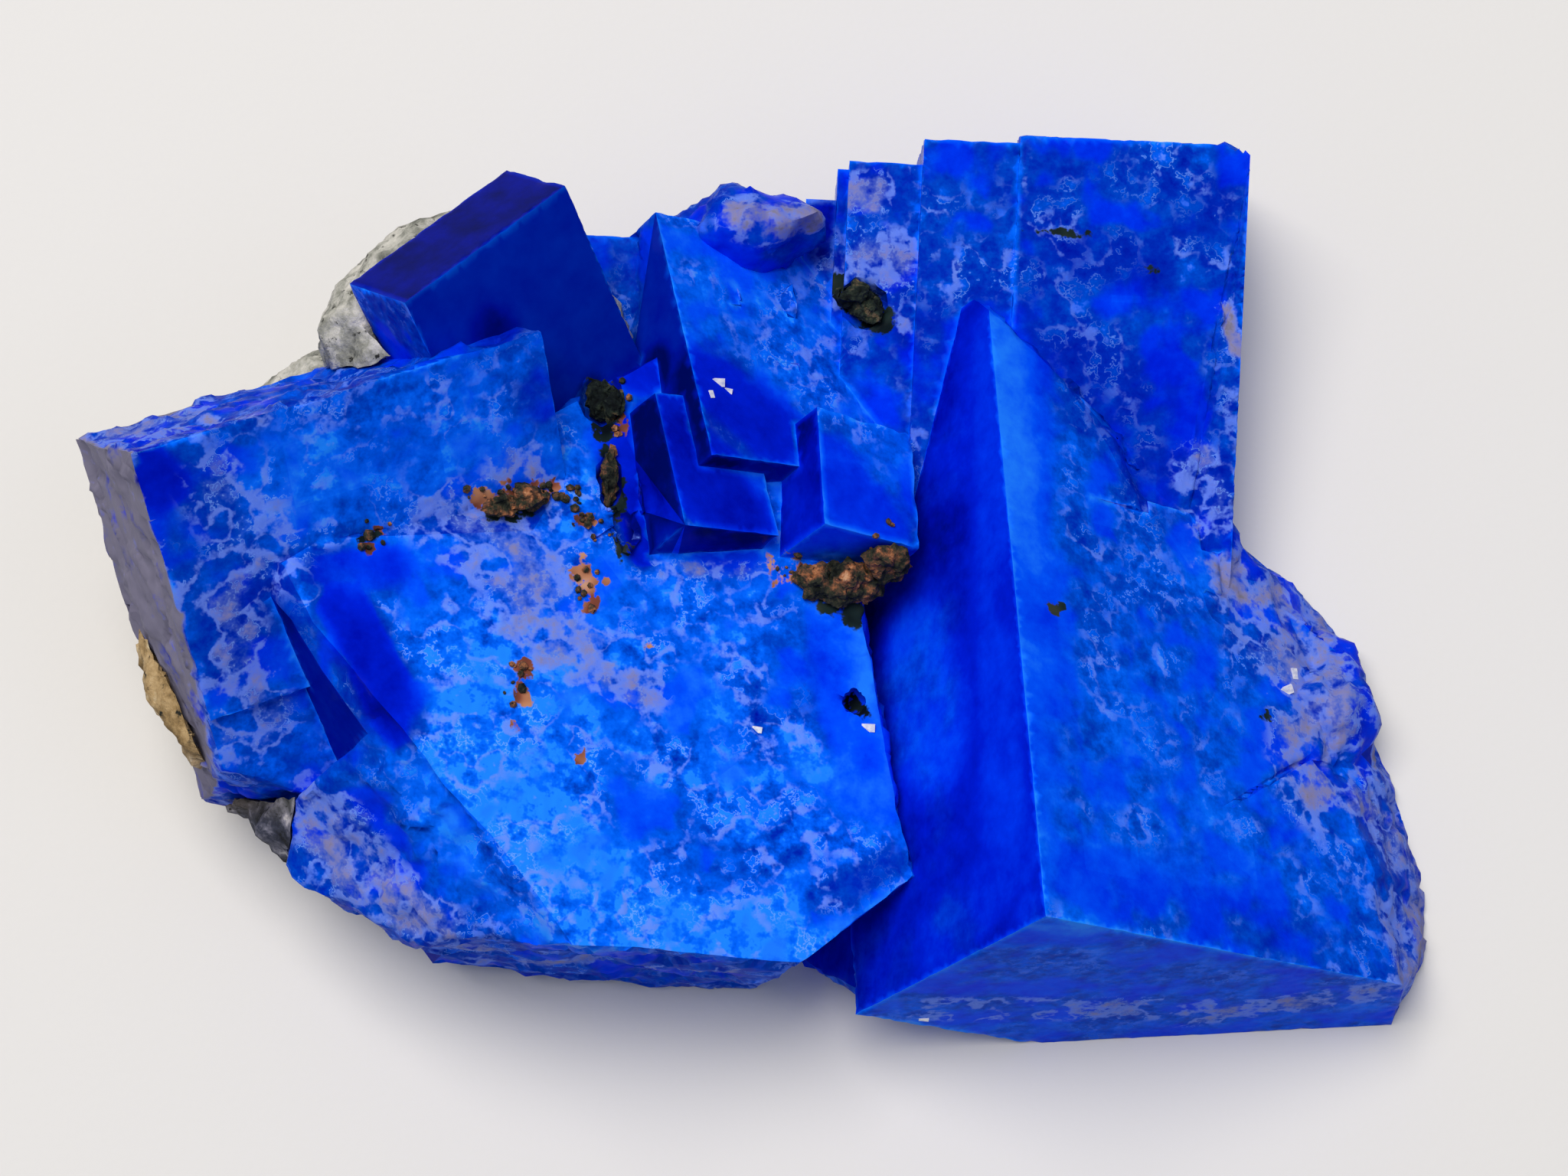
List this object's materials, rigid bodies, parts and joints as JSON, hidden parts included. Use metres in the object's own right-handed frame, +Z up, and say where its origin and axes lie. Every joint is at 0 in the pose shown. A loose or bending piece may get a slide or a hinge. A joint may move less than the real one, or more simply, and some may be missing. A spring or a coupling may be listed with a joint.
{
  "type": "fluorite specimen",
  "caption": "Hand specimen of deep blue fluorite: interlocking cubes with stepped, veined faces on a thin rind of rock, lying on its broken back.",
  "frame": {"origin": "on the ground under the middle of the specimen's bounding box", "axes": "+X to the right of the display side, +Y away from the viewer, +Z up"},
  "size_m": [0.0818, 0.058, 0.0307],
  "materials": {
    "fluorite": "vitreous, translucent, veined",
    "host_rock": "rough broken rock",
    "iron_crust": "crumbly, rust-brown",
    "dark_crust": "crumbly, greenish black"
  },
  "bodies": {
    "root": {"fluorite_cluster": "fluorite", "host_rock": "host_rock", "crust_pit": "iron_crust", "crust_seam": "iron_crust", "crust_left": "iron_crust", "crust_middle": "iron_crust", "crust_upper": "dark_crust"}
  },
  "joints": []
}
